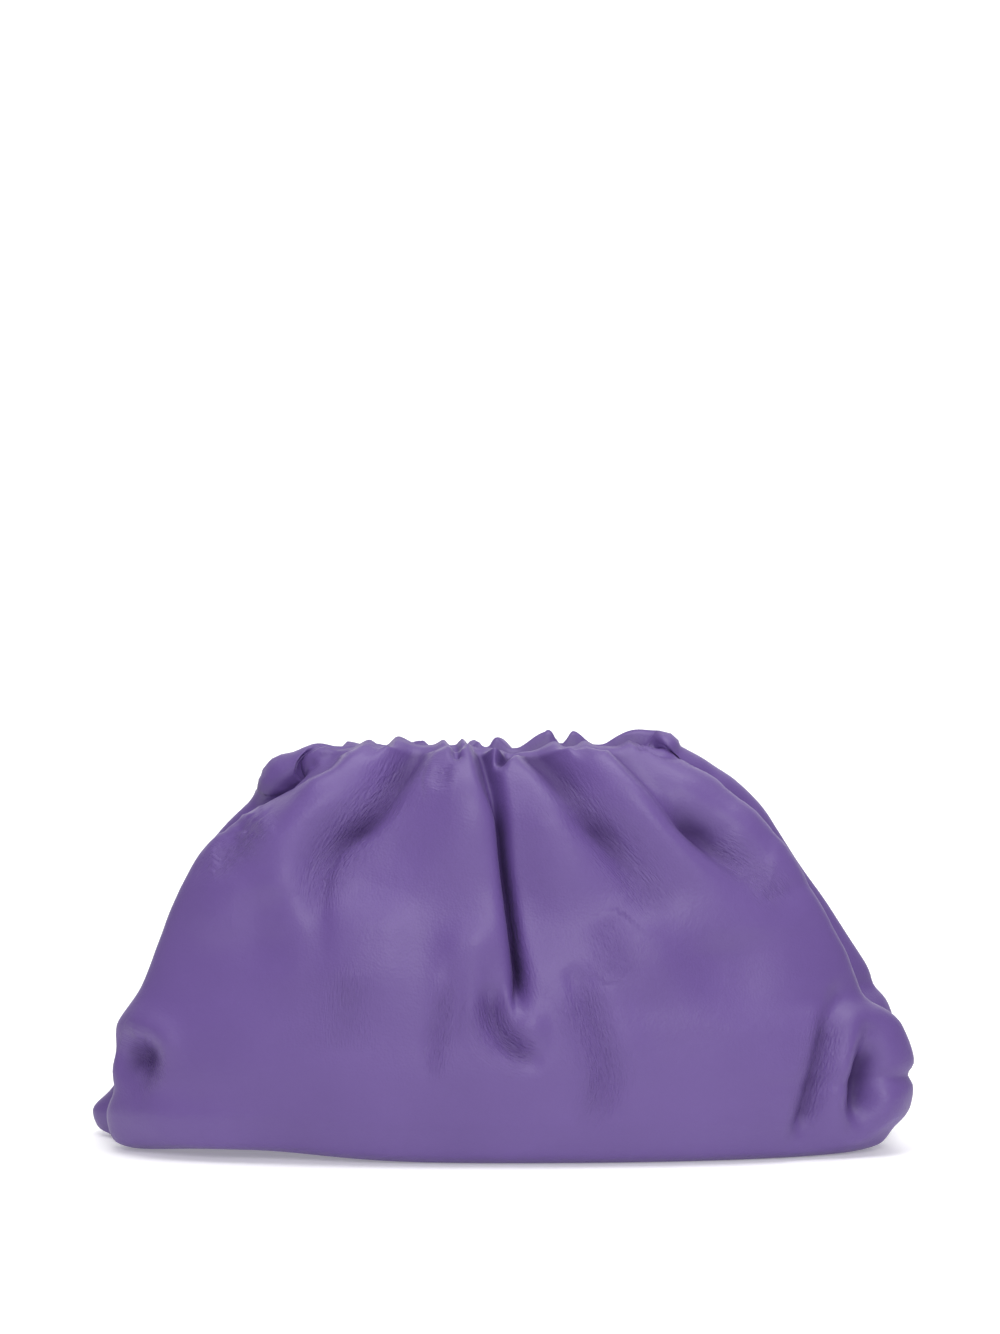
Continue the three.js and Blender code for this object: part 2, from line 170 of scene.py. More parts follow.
# Levels of the bag from the bottom seam up to just under the mouth, as shares: height of
# BAG_HEIGHT, depth of half of BAG_DEPTH, all others of half of BAG_WIDTH. The tucks say how far
# in from the panels' middle reach the side seams lie. Square is the exponent of the rounded
# outline.
LEVELS = table(
    ["height", "front_left", "front_right", "back_left", "back_right", "depth",
     "tuck_left", "tuck_right", "square"],
    [
        [0.0, 0.6, 0.62, 0.6, 0.62, 0.0, 0.0, 0.0, 2.2],
        [0.0, 0.89, 0.86, 0.94, 0.86, 0.74, 0.03, 0.02, 2.2],
        [0.02, 0.945, 0.935, 1.005, 0.95, 0.88, 0.055, 0.05, 2.2],
        [0.06, 0.96, 0.965, 1.02, 0.985, 0.95, 0.065, 0.05, 2.2],
        [0.112, 0.965, 1.0, 0.985, 1.0, 1.0, 0.055, 0.05, 2.2],
        [0.21, 0.96, 1.015, 0.96, 1.0, 1.0, 0.05, 0.05, 2.2],
        [0.305, 0.94, 0.985, 0.935, 0.98, 0.97, 0.05, 0.05, 2.2],
        [0.4, 0.875, 0.88, 0.865, 0.93, 0.92, 0.045, 0.06, 2.2],
        [0.5, 0.835, 0.822, 0.828, 0.865, 0.85, 0.045, 0.07, 2.2],
        [0.6, 0.795, 0.762, 0.79, 0.798, 0.77, 0.045, 0.075, 2.25],
        [0.7, 0.735, 0.68, 0.73, 0.716, 0.67, 0.055, 0.075, 2.3],
        [0.8, 0.618, 0.555, 0.628, 0.618, 0.54, 0.09, 0.065, 2.5],
        [0.875, 0.505, 0.45, 0.55, 0.512, 0.37, 0.08, 0.04, 2.8],
    ],
)

# The rim of the mouth: below is measured from the crest in rim bends, inset from the outer face
# in hem thicknesses. Loop says how many millimetres further the back's left end reaches, where
# the leather curls over in a loop, tube the same for its right end, where the back lip ends in
# a roll, and short how many less the front's two ends reach.
RIM = table(
    ["name", "below", "inset", "square", "loop", "tube", "short"],
    [
        ["outer", 1.0, 0.0, 3.4, 12, 6, 5],
        ["crest", 0.0, 0.5, 3.6, 5, 6, 4],
        ["inner", 1.0, 1.0, 3.6, 1, 2, 0],
    ],
)

# Folds of a panel. Path is a list of places seen from the front, as shares of half the width
# and of the height, from the fold's upper end to its lower one. Depth, left, right and round
# are in millimetres: how deep the fold presses in, negative for a ridge, how wide it is on its
# left and right side for someone who faces the panel, and how round its bottom is. Start is
# the share of the depth at its upper end, hold how far along it keeps its full depth, and flare
# how many times wider it is at its lower end. Lean is how many millimetres the leather beside
# the fold leans over it, from the left if positive and from the right if negative.
FOLD_COLUMNS = ["name", "path", "depth", "left", "right", "round", "start", "hold", "flare", "lean"]

FRONT_FOLDS = table(FOLD_COLUMNS, [
    ["centre", [(-0.07, 1.0), (-0.036, 0.89), (-0.019, 0.83), (-0.002, 0.7), (0.012, 0.6),
                (0.031, 0.463), (0.05, 0.345)], 16, 2.5, 3.8, 1.2, 0.8, 0.8, 1, 4],
    ["centre lip", [(-0.1, 0.98), (-0.055, 0.85), (-0.03, 0.7), (-0.012, 0.58), (0.015, 0.43)],
     -4.5, 14, 4, 3, 0.5, 0.7, 1.0],
    ["centre shade", [(0.0, 0.86), (0.03, 0.66), (0.08, 0.42)], 4, 6, 18, 6, 0.4, 0.6, 1.2],
    ["hook", [(-0.03, 0.45), (-0.024, 0.373), (0.002, 0.315), (0.05, 0.277), (0.12, 0.245)],
     6.5, 3, 3.5, 1.5, 0.1, 0.6, 1.2],
    ["hook lip", [(0.045, 0.36), (0.079, 0.33), (0.135, 0.31)], -2.5, 5, 5, 4, 0.5, 0.4, 1.0],
    ["left long", [(-0.17, 1.0), (-0.205, 0.925), (-0.262, 0.85), (-0.33, 0.793), (-0.394, 0.747),
                   (-0.43, 0.7), (-0.44, 0.64), (-0.435, 0.54), (-0.42, 0.4)],
     18, 7.5, 4.8, 3.5, 0.9, 0.1, 0.9],
    ["left shade", [(-0.22, 0.9), (-0.34, 0.8), (-0.43, 0.68), (-0.42, 0.54)],
     3, 18, 14, 8, 0.6, 0.2, 1],
    ["left outer", [(-0.37, 1.0), (-0.41, 0.92), (-0.455, 0.877), (-0.521, 0.818),
                    (-0.598, 0.757), (-0.7, 0.68)], 17, 7, 5, 3, 0.9, 0.5, 1.1],
    ["left outer shade", [(-0.4, 0.93), (-0.5, 0.84), (-0.63, 0.74)],
     5, 15, 8, 5, 0.5, 0.6, 1],
    ["right long", [(0.055, 1.0), (0.085, 0.93), (0.123, 0.895), (0.183, 0.832), (0.243, 0.775),
                    (0.302, 0.715), (0.349, 0.65), (0.38, 0.58), (0.4, 0.5)],
     18, 5, 8, 3.5, 0.9, 0.15, 1],
    ["right shade", [(0.14, 0.88), (0.26, 0.76), (0.36, 0.64), (0.39, 0.53)],
     3, 14, 18, 8, 0.6, 0.2, 1],
    ["right outer", [(0.25, 1.0), (0.285, 0.94), (0.345, 0.88), (0.43, 0.807), (0.538, 0.724),
                     (0.599, 0.684), (0.7, 0.62)], 17, 4.5, 8, 3, 0.9, 0.5, 1.1],
    ["right outer shade", [(0.31, 0.91), (0.45, 0.8), (0.6, 0.69)], 5, 8, 15, 5, 0.5, 0.6, 1],
    ["left slit", [(-0.118, 1.0), (-0.108, 0.945), (-0.095, 0.9)], 11, 2, 3, 1, 1, 0.6, 1],
    ["left slit toe", [(-0.108, 0.92), (-0.1, 0.897), (-0.083, 0.9)],
     5, 1.5, 2, 0.8, 0.6, 0.5, 1],
    ["right slit", [(0.03, 1.0), (0.02, 0.93), (0.003, 0.9), (0.025, 0.878)],
     11, 2.4, 2.4, 1, 1, 0.6, 1],
    ["crease over left", [(-0.28, 1.0), (-0.29, 0.94), (-0.33, 0.88)], 6, 4, 3, 1.5, 1, 0.4, 1],
    ["crease over right", [(0.165, 1.0), (0.19, 0.93), (0.23, 0.88)], 6, 3, 4, 1.5, 1, 0.4, 1],
    ["crease far right", [(0.34, 1.0), (0.37, 0.93), (0.43, 0.87)], 6, 3, 4, 1.5, 1, 0.4, 1],
    ["lower left", [(-0.115, 0.51), (-0.124, 0.396), (-0.152, 0.327), (-0.17, 0.18)],
     2.5, 3, 7, 1.2, 0, 0.6, 1.2],
    ["lower right", [(0.15, 0.5), (0.181, 0.442), (0.205, 0.373), (0.235, 0.29), (0.253, 0.234),
                     (0.241, 0.165), (0.19, 0.07)], 4.5, 3.5, 7, 1.5, 0, 0.6, 1.2],
    ["lower right ridge", [(0.19, 0.48), (0.235, 0.4), (0.275, 0.29), (0.29, 0.18)],
     -2.5, 8, 8, 5, 0, 0.6, 1],
    ["right corner", [(0.825, 0.39), (0.8, 0.335), (0.775, 0.244), (0.75, 0.152), (0.714, 0.04)],
     8, 3, 6, 1.2, 0.3, 0.8, 1],
    ["right corner lobe", [(0.84, 0.34), (0.835, 0.25), (0.83, 0.16), (0.8, 0.08)],
     -1.5, 6, 6, 4, 0.3, 0.6, 1],
    ["right hollow", [(0.905, 0.3), (0.892, 0.24), (0.878, 0.18), (0.872, 0.12), (0.872, 0.04)],
     12, 3.6, 6.5, 2, 0.3, 0.6, 1],
    ["sweep", [(0.97, 0.165), (0.94, 0.12), (0.88, 0.075), (0.8, 0.03)],
     -4, 6, 6, 4, 0.7, 0.6, 1],
    ["left pocket", [(-0.908, 0.24), (-0.86, 0.245), (-0.8, 0.235)],
     10, 9, 5, 3, 0.9, 0.3, 1],
    ["left brow", [(-0.9, 0.325), (-0.86, 0.315), (-0.815, 0.285), (-0.79, 0.22)],
     -3, 5, 5, 3.5, 0.6, 0.5, 1],
    ["dimple", [(-0.17, 0.865), (-0.1, 0.86)], 2, 4, 4, 2, 0.5, 0.5, 1],
    ["soft left", [(-0.19, 0.87), (-0.22, 0.76), (-0.25, 0.64)], 3, 10, 10, 8, 0, 0.5, 1],
    ["soft far left", [(-0.57, 0.66), (-0.55, 0.55), (-0.55, 0.42)], 3, 12, 12, 10, 0, 0.5, 1],
    ["soft far right", [(0.55, 0.56), (0.56, 0.44), (0.53, 0.32)], 3, 12, 12, 10, 0, 0.5, 1],
    ["left ridge", [(-0.29, 0.95), (-0.38, 0.86), (-0.465, 0.785), (-0.5, 0.7),
                    (-0.49, 0.6), (-0.46, 0.48), (-0.42, 0.32)], -6, 12, 12, 9, 0.5, 0.5, 1],
    ["far left lobe", [(-0.66, 0.7), (-0.665, 0.6), (-0.66, 0.48)],
     -3.5, 10, 9, 7, 0.2, 0.5, 1],
    ["left lobe", [(-0.3, 0.66), (-0.3, 0.55), (-0.31, 0.43), (-0.34, 0.31)],
     -3.5, 13, 12, 9, 0, 0.5, 1],
    ["middle lobe", [(-0.15, 0.93), (-0.14, 0.84), (-0.15, 0.7), (-0.16, 0.55)],
     -4, 14, 12, 8, 0.4, 0.5, 1],
    ["small lobe", [(-0.06, 0.6), (-0.085, 0.488), (-0.09, 0.4), (-0.08, 0.3)],
     -3.5, 8, 6, 5, 0, 0.5, 1],
    ["right inner lobe", [(0.1, 0.86), (0.16, 0.7), (0.2, 0.56)], -4, 12, 12, 8, 0.4, 0.5, 1],
    ["right lobe", [(0.3, 0.6), (0.34, 0.53), (0.37, 0.44), (0.38, 0.36)],
     -3, 11, 11, 8, 0, 0.5, 1],
    ["right ridge", [(0.21, 0.95), (0.374, 0.829), (0.494, 0.702), (0.578, 0.575), (0.59, 0.45)],
     -5.5, 12, 12, 8, 0.5, 0.5, 1],
    ["far right ridge", [(0.38, 0.93), (0.52, 0.81), (0.66, 0.68), (0.74, 0.52)],
     -4, 9, 9, 6, 0.5, 0.6, 1],
    ["low left roll", [(-0.93, 0.16), (-0.8, 0.085), (-0.65, 0.05), (-0.47, 0.04)],
     -2.5, 8, 8, 5, 0.3, 0.5, 1],
    ["side edge", [(0.42, 0.93), (0.494, 0.865), (0.596, 0.785), (0.666, 0.729), (0.738, 0.644),
                   (0.806, 0.541), (0.85, 0.468), (0.87, 0.38)], -2.5, 8, 3, 2, 0.3, 0.85, 1],
])

BACK_FOLDS = table(FOLD_COLUMNS, [
    ["back 1", [(-0.36, 1.0), (-0.44, 0.88), (-0.56, 0.77), (-0.7, 0.64)],
     10, 3, 10, 1.5, 0.9, 0.6, 1.3],
    ["back 2", [(-0.25, 1.0), (-0.31, 0.87), (-0.4, 0.7), (-0.46, 0.5)],
     11, 5, 12, 2, 0.9, 0.5, 1.5],
    ["back 3", [(-0.15, 1.0), (-0.17, 0.93), (-0.2, 0.85)], 7, 2, 3, 0.8, 1, 0.5, 1],
    ["back 4", [(-0.09, 1.0), (-0.12, 0.84), (-0.15, 0.66), (-0.15, 0.46)],
     11, 3, 9, 1.5, 0.9, 0.6, 1.4],
    ["back 5", [(-0.031, 1.0), (-0.035, 0.93), (-0.03, 0.88)], 9, 2, 2.4, 0.8, 1, 0.6, 1],
    ["back 6", [(0.036, 1.0), (0.05, 0.86), (0.08, 0.7), (0.12, 0.55)],
     9, 8, 3, 1.5, 0.9, 0.5, 1.4],
    ["back 7", [(0.15, 1.0), (0.16, 0.93), (0.175, 0.87)], 9, 2.4, 2, 0.8, 1, 0.6, 1],
    ["back 8", [(0.237, 1.0), (0.27, 0.87), (0.34, 0.66), (0.36, 0.44)],
     12, 7, 4, 2, 0.9, 0.5, 1.5],
    ["back 9", [(0.39, 0.91), (0.45, 0.83), (0.54, 0.73), (0.68, 0.6)],
     9, 9, 4, 2, 0.3, 0.65, 1.2],
    ["back low left", [(-0.5, 0.44), (-0.56, 0.28), (-0.5, 0.1)], 4, 8, 6, 3, 0, 0.5, 1],
    ["back low right", [(0.52, 0.46), (0.62, 0.28), (0.56, 0.08)], 4, 6, 8, 3, 0, 0.5, 1],
    ["back ridge left", [(-0.3, 0.97), (-0.4, 0.83), (-0.5, 0.68), (-0.55, 0.45)],
     -4, 12, 12, 8, 0.5, 0.5, 1],
    ["back ridge right", [(0.25, 0.97), (0.36, 0.82), (0.48, 0.66), (0.52, 0.42)],
     -4, 12, 12, 8, 0.5, 0.5, 1],
    ["back lobe", [(0.0, 0.8), (-0.02, 0.6), (0.02, 0.36)], -3, 14, 14, 10, 0, 0.5, 1],
    ["back loop", [(-0.5, 0.95), (-0.55, 0.92), (-0.58, 0.87), (-0.61, 0.82)],
     -3, 9, 7, 5, 0.7, 0.6, 1],
])

# Rolls across the sides, the same on both panels. Side is -1 for left and 1 for right, height
# and width are shares of BAG_HEIGHT, depth a share of half of BAG_WIDTH, and spread how far the
# crease reaches to the front and back, a share of half of BAG_DEPTH.
SIDE_FOLDS = table(
    ["side", "height", "width", "depth", "spread"],
    [
        [1, 0.187, 0.018, 0.022, 0.6],
        [1, 0.375, 0.025, 0.012, 0.7],
        [-1, 0.15, 0.04, 0.035, 0.45],
        [-1, 0.345, 0.035, 0.012, 0.45],
    ],
)

# How high the pleats stand over the rim, in millimetres, at places across the mouth as shares
# of half the width.
FRONT_CREST = table(["across", "rise"], [
    [-0.47, 5.5], [-0.4, 6], [-0.33, 5.5], [-0.24, 7.5], [-0.14, 9.5], [-0.1, 8.5], [-0.07, 4],
    [-0.03, 2.5], [0.02, 2], [0.06, 5], [0.12, 6.5], [0.25, 7], [0.33, 8], [0.39, 6],
])
BACK_CREST = table(["across", "rise"], [
    [-0.56, 2], [-0.47, 3], [-0.35, 4.5], [-0.1, 7], [0.0, 8.5], [0.1, 9.8], [0.2, 9],
    [0.26, 7], [0.34, 8.5], [0.44, 10],
])

# Patches of fine wrinkles: the line that they run along, seen from the front as a fold's path
# is, the patch's width to each side in millimetres, and how strong they are.
WRINKLE_COLUMNS = ["name", "path", "width", "strength"]

FRONT_WRINKLES = table(WRINKLE_COLUMNS, [
    ["left long", [(-0.2, 0.95), (-0.262, 0.85), (-0.36, 0.76), (-0.42, 0.68), (-0.43, 0.56)],
     9, 1],
    ["left outer end", [(-0.52, 0.8), (-0.64, 0.72), (-0.72, 0.66)], 7, 0.8],
    ["left lobe", [(-0.35, 0.48), (-0.36, 0.38), (-0.36, 0.27)], 9, 0.6],
    ["right long", [(0.1, 0.92), (0.2, 0.8), (0.33, 0.67), (0.41, 0.56)], 9, 0.8],
    ["right lobe", [(0.24, 0.6), (0.27, 0.52), (0.3, 0.43)], 8, 0.5],
    ["right outer end", [(0.5, 0.75), (0.62, 0.67), (0.7, 0.6)], 8, 1],
    ["centre", [(-0.01, 0.76), (0.03, 0.55), (0.08, 0.36)], 5, 0.5],
    ["hook", [(-0.04, 0.42), (0.0, 0.31), (0.1, 0.26)], 8, 1],
    ["lower left", [(-0.12, 0.46), (-0.14, 0.33), (-0.16, 0.2)], 5, 0.8],
    ["lower right", [(0.18, 0.46), (0.22, 0.32), (0.25, 0.2), (0.2, 0.08)], 9, 1],
    ["right corner", [(0.81, 0.38), (0.775, 0.244), (0.72, 0.06)], 7, 1],
    ["left corner", [(-0.93, 0.3), (-0.87, 0.24), (-0.82, 0.16)], 8, 0.8],
    ["dimple", [(-0.19, 0.87), (-0.09, 0.855)], 6, 0.5],
])

BACK_WRINKLES = table(WRINKLE_COLUMNS, [
    ["back left", [(-0.33, 0.84), (-0.42, 0.68), (-0.46, 0.46)], 9, 1],
    ["back middle", [(-0.13, 0.8), (-0.15, 0.6), (-0.14, 0.4)], 9, 0.8],
    ["back right", [(0.26, 0.84), (0.34, 0.64), (0.37, 0.42)], 9, 1],
    ["back low left", [(-0.53, 0.4), (-0.55, 0.24), (-0.5, 0.1)], 8, 0.7],
    ["back low right", [(0.55, 0.42), (0.6, 0.26), (0.56, 0.1)], 8, 0.7],
])

# How the fine wrinkles wander to the side: two waves along the fold, each with its size and its
# start in radians and the length in millimetres over which it turns by one radian.
WANDER = table(["size", "length", "start"], [[1.2, 7, 0], [0.8, 3.1, 1]])

# The leather's shader, its two tones with their places on the ramp, and the scale and detail of
# the noise that mixes them.
LEATHER_LOOK = {"Roughness": 0.48, "Sheen Weight": 0.02, "Sheen Roughness": 0.5}
LEATHER_TONES = [(0.3, (0.111, 0.061, 0.236, 1)), (0.7, (0.127, 0.072, 0.264, 1))]
TONE_NOISE = (16, 4)

# Painted shade in deep folds: how much the leather's colour is darkened there and its
# specular level lowered, and the specular level outside the folds.
FOLD_SHADE_DARKENING = 0.5
FOLD_SHADE_SPECULAR_DROP = 0.45
LEATHER_SPECULAR = 0.5

# The leather's bump: its pores, a softer unevenness and the break wrinkles, which are stretched
# along the folds. Each has a share of the height, and each noise a scale and detail.
BUMP = {"Strength": 0.5, "Distance": 0.0012}
PORE_SCALE = 900
PORE_HEIGHT = 0.12
UNEVEN_NOISE = (220, 3)
UNEVEN_HEIGHT = 0.25
BREAK_NOISE = (1, 4)
BREAK_HEIGHT = 3.2
BREAK_STRETCH = (0.25, 1.3, 1)

# The frame's steel, the streaks along it and the range of its roughness.
STEEL_LOOK = {"Base Color": (0.55, 0.56, 0.58, 1), "Metallic": 1}
STREAK_NOISE = (1, 2)
STREAK_STRETCH = (20, 60, 900)
STREAK_ROUGHNESS = {"To Min": 0.25, "To Max": 0.45}

# The floor and the backdrop that it bends up into, in metres.
FLOOR_LOOK = {
    "Base Color": (0.92, 0.92, 0.92, 1),
    "Roughness": 0.7,
    "Emission Color": (1, 1, 1, 1),
    "Emission Strength": 0.25,
}
FLOOR_WIDTH = 6
FLOOR_FRONT = -3
FLOOR_BACK = 2.5
BACKDROP_HEIGHT = 3.5
BACKDROP_BEND = 1.2
BACKDROP_STEPS = 16

# The surroundings' even white light and the soft lights: places, what they point at and sizes in
# metres, power in watts.
SURROUNDINGS = {"Color": (1, 1, 1, 1), "Strength": 0.28}
LIGHTS = table(["name", "place", "target", "size", "power"], [
    ["top", (0.1, -0.3, 1.25), (0, 0, 0.08), (1.2, 0.6), 11],
    ["front", (0.1, -1.5, 0.8), (0, 0, 0.1), (0.5, 0.5), 10],
    ["backdrop", (0, 0.8, 1.9), (0, 2.4, 0.9), (3.0, 0.8), 40],
])

# The camera: its angle above the horizon in degrees, its distance from the bag's middle, that
# middle's height, how far above it the camera aims, in metres, and its focal length.
CAMERA_ELEVATION = 8
CAMERA_DISTANCE = 1.651
CAMERA_MIDDLE = 0.0925
CAMERA_AIM_ABOVE = 0.1203
CAMERA_LENS = 100


def smooth_step(low, high, x):
    """0 below the low value, 1 above the high one, and a smooth rise between them."""
    t = np.clip((x - low) / (high - low), 0, 1)
    return t * t * (3 - 2 * t)


def blend(a, b, share):
    """The first value at share 0, the second at share 1."""
    return a + (b - a) * share


def monotone_curve(positions, values, wanted):
    """Values at the wanted positions on a smooth curve with no overshoot."""
    spans = np.diff(positions)
    slopes = np.diff(values) / spans
    tangents = np.empty(len(values))
    tangents[0] = slopes[0]
    tangents[-1] = slopes[-1]
    for i in range(1, len(values) - 1):
        if slopes[i - 1] * slopes[i] <= 0:
            tangents[i] = 0
            continue
        before = 2 * spans[i] + spans[i - 1]
        after = spans[i] + 2 * spans[i - 1]
        tangents[i] = (before + after) / (before / slopes[i - 1] + after / slopes[i])
    i = np.clip(np.searchsorted(positions, wanted) - 1, 0, len(spans) - 1)
    h = spans[i]
    t = (wanted - positions[i]) / h
    s = 1 - t
    return (values[i] * (1 + 2 * t) * s * s + tangents[i] * h * t * s * s
            + values[i + 1] * t * t * (3 - 2 * t) - tangents[i + 1] * h * t * t * s)


def curve_through(points, count):
    """Points on a smooth curve through the given ones, each as far along as its share."""
    points = np.array(points, dtype=float)
    lengths = np.linalg.norm(np.diff(points, axis=0), axis=1)
    reached = np.concatenate([[0], np.cumsum(lengths)])
    wanted = np.linspace(0, reached[-1], count)
    tangents = np.gradient(points, reached, axis=0)
    i = np.clip(np.searchsorted(reached, wanted) - 1, 0, len(lengths) - 1)
    h = lengths[i][:, None]
    t = (wanted[:, None] - reached[i][:, None]) / h
    s = 1 - t
    return (points[i] * (1 + 2 * t) * s * s + tangents[i] * h * t * s * s
            + points[i + 1] * t * t * (3 - 2 * t) - tangents[i + 1] * h * t * t * s)


def rim_level(row):
    """The outline round the mouth, set in along the lips and at the two ends."""
    left = MOUTH_LEFT - row["inset"] * END_THICKNESS
    right = MOUTH_RIGHT - row["inset"] * END_THICKNESS
    return {
        "z": RIM_TOP - row["below"] * RIM_BEND,
        "front_left": left - row["short"], "front_right": right - row["short"],
        "back_left": left + row["loop"], "back_right": right + row["tube"],
        "depth": MOUTH_GAP / 2 + HEM_THICKNESS * (1 - row["inset"]),
        "seam_left": left, "seam_right": right, "square": row["square"],
    }


def body_level(row):
    """One level of the body in millimetres."""
    return {
        "z": row["height"] * BAG_HEIGHT,
        "front_left": row["front_left"] * HALF_WIDTH,
        "front_right": row["front_right"] * HALF_WIDTH,
        "back_left": row["back_left"] * HALF_WIDTH,
        "back_right": row["back_right"] * HALF_WIDTH,
        "depth": row["depth"] * HALF_DEPTH,
        "seam_left": ((row["front_left"] + row["back_left"]) / 2 - row["tuck_left"]) * HALF_WIDTH,
        "seam_right": ((row["front_right"] + row["back_right"]) / 2 - row["tuck_right"])
                      * HALF_WIDTH,
        "square": row["square"],
    }


def all_levels():
    """All levels from the bottom seam to the free end of the hem."""
    rim = [rim_level(row) for row in RIM]
    return [body_level(row) for row in LEVELS] + rim + [{**rim[-1], "z": RIM_TOP - HEM_DEPTH}]


LEVEL_ROWS = all_levels()
LEVEL_PLACES = np.concatenate([[0], np.cumsum([
    math.hypot(b["z"] - a["z"], b["depth"] - a["depth"])
    for a, b in zip(LEVEL_ROWS, LEVEL_ROWS[1:])
])])

# Places of the body's last level and of the rim's crest and inner level, counted from the end.
BODY_PLACE, CREST_PLACE, INNER_PLACE = LEVEL_PLACES[[-5, -3, -2]]


def row_places():
    """How far along the panel each mesh row lies: finer over the rim than on the body."""
    body = np.linspace(0, BODY_PLACE, round(BODY_PLACE / BODY_STEP), endpoint=False)
    rim_length = LEVEL_PLACES[-1] - BODY_PLACE
    rim = np.linspace(BODY_PLACE, LEVEL_PLACES[-1], round(rim_length / RIM_STEP) + 1)
    return np.concatenate([body, rim])


def column_shares():
    """Where the columns stand along a section, as shares of its length."""
    share = (np.arange(COLUMNS) + 0.5) / COLUMNS
    from_middle = (share - 0.5) / MIDDLE_WIDTH
    from_side = np.minimum(share, 1 - share) / SIDE_WIDTH
    closeness = (1 + MIDDLE_CROWDING * np.exp(-from_middle ** 2)
                 + SIDE_CROWDING * np.exp(-from_side ** 2))
    reached = np.concatenate([[0], np.cumsum(1 / closeness)])
    return reached / reached[-1]


def section(level, facing):
    """One half of a level's outline, from its left seam to its right one.

    The tucks take away some of its width, so its reach is fitted until it is as wide as it
    should be.
    """
    side = "front" if facing < 0 else "back"
    power = 2 / level["square"]
    spread = max(min(TUCK_SPREAD, TUCK_SHARE * level["depth"]), LEAST_LENGTH)
    angle = np.linspace(math.pi, 0, SECTION_SAMPLES + 1)
    across = np.cos(angle)
    out = level["depth"] * np.clip(np.sin(angle), 0, 1) ** power
    tuck = np.exp(-(out / spread) ** 2) if level["depth"] > spread else np.zeros_like(out)
    left, right = level[side + "_left"], level[side + "_right"]
    seam = np.where(across < 0, level["seam_left"], level["seam_right"])
    reach = np.where(across < 0, left, right)
    apart = tuck < TUCK_FREE
    for _ in range(REACH_PASSES):
        x = np.sign(across) * np.abs(across) ** power * (reach - (reach - seam) * tuck)
        reach = reach * np.where(across < 0, left / -x[apart].min(), right / x[apart].max())
    y = facing * (out + SEAM_GAP / 2)
    z = np.full_like(x, level["z"])
    return np.stack([x, y, z + lift_at(x, y, z)], axis=1)


def lift_at(x, y, z):
    """How far the front stands off the floor."""
    aside = (x / HALF_WIDTH - LIFT_MIDDLE) / LIFT_WIDTH
    low = 1 - smooth_step(0, LIFT_FADE * BAG_HEIGHT, z)
    front = smooth_step(0, HALF_DEPTH / 2, -y)
    return LIFT_HEIGHT * BAG_HEIGHT * low * front * np.exp(-aside ** 2)


def basic_form(facing):
    """The smooth surface of one panel: points and outward directions, row by column."""
    places = row_places()
    columns = {
        name: monotone_curve(LEVEL_PLACES, np.array([row[name] for row in LEVEL_ROWS]), places)
        for name in LEVEL_ROWS[0]
    }
    shares = column_shares()
    points = np.empty((len(places), COLUMNS + 1, 3))
    for j in range(len(places)):
        outline = section({name: column[j] for name, column in columns.items()}, facing)
        steps = np.linalg.norm(np.diff(outline, axis=0), axis=1)
        lengths = np.concatenate([[0], np.cumsum(steps)])
        for axis in range(3):
            points[j, :, axis] = np.interp(shares * lengths[-1], lengths, outline[:, axis])
    rightward = np.gradient(points, axis=1)
    upward = np.gradient(points, axis=0)
    normals = unit(np.cross(rightward, upward) * -facing)
    for edge, sign in [(0, -1), (-1, 1)]:
        along = unit(upward[:, edge])
        sideways = np.stack([sign * along[:, 2], 0 * along[:, 2], -sign * along[:, 0]], axis=1)
        from_edge = shares if edge == 0 else 1 - shares
        own = smooth_step(0, SEAM_BLEND, from_edge)[None, :, None]
        normals = unit(blend(sideways[:, None, :], normals, own))
    return places, points, normals


def unit(vectors):
    """Vectors of the same directions with a length of one."""
    return vectors / np.maximum(np.linalg.norm(vectors, axis=-1, keepdims=True), LEAST_NORM)


def path_on(points, crest_row, path):
    """A path as points on the surface, nearest as seen from the front, evened out in depth."""
    wanted = curve_through(path, FOLD_SAMPLES) * [HALF_WIDTH, BAG_HEIGHT]
    surface = points[:crest_row].reshape(-1, 3)
    seen = surface[:, [0, 2]]
    nearest = [np.argmin(((seen - place) ** 2).sum(axis=1)) for place in wanted]
    line = surface[nearest]
    line[:, [0, 2]] = wanted
    line[:, 2] = np.minimum(line[:, 2], surface[:, 2].max())
    window = 2 * FOLD_SMOOTHING + 1
    padded = np.pad(line[:, 1], FOLD_SMOOTHING, mode="edge")
    line[:, 1] = np.convolve(padded, np.full(window, 1 / window), mode="valid")
    return line


def distance_to(points, normals, line):
    """Distance to a line on the surface, how far along it that is, and on which side of it."""
    flat = points.reshape(-1, 3)
    nearest = np.full(len(flat), np.inf)
    along = np.zeros(len(flat))
    side = np.zeros(len(flat))
    for i, (start, end) in enumerate(zip(line, line[1:])):
        run = end - start
        length = np.linalg.norm(run)
        if length < LEAST_LENGTH:
            continue
        offset = flat - start
        share = np.clip(offset @ run / length ** 2, 0, 1)
        away = offset - share[:, None] * run
        distance = np.linalg.norm(away, axis=1)
        closer = distance < nearest
        nearest[closer] = distance[closer]
        along[closer] = (i + share[closer]) / (len(line) - 1)
        sideways = np.cross(normals.reshape(-1, 3)[closer], run / length)
        divisor = np.maximum(distance[closer], LEAST_LENGTH)
        side[closer] = (away[closer] * sideways).sum(axis=1) / divisor
    shape = points.shape[:2]
    return nearest.reshape(shape), along.reshape(shape), side.reshape(shape)


def nearest_of(along, line):
    """The index of the point on a line that lies nearest to each share of its length."""
    return np.rint(along * (len(line) - 1)).astype(int)


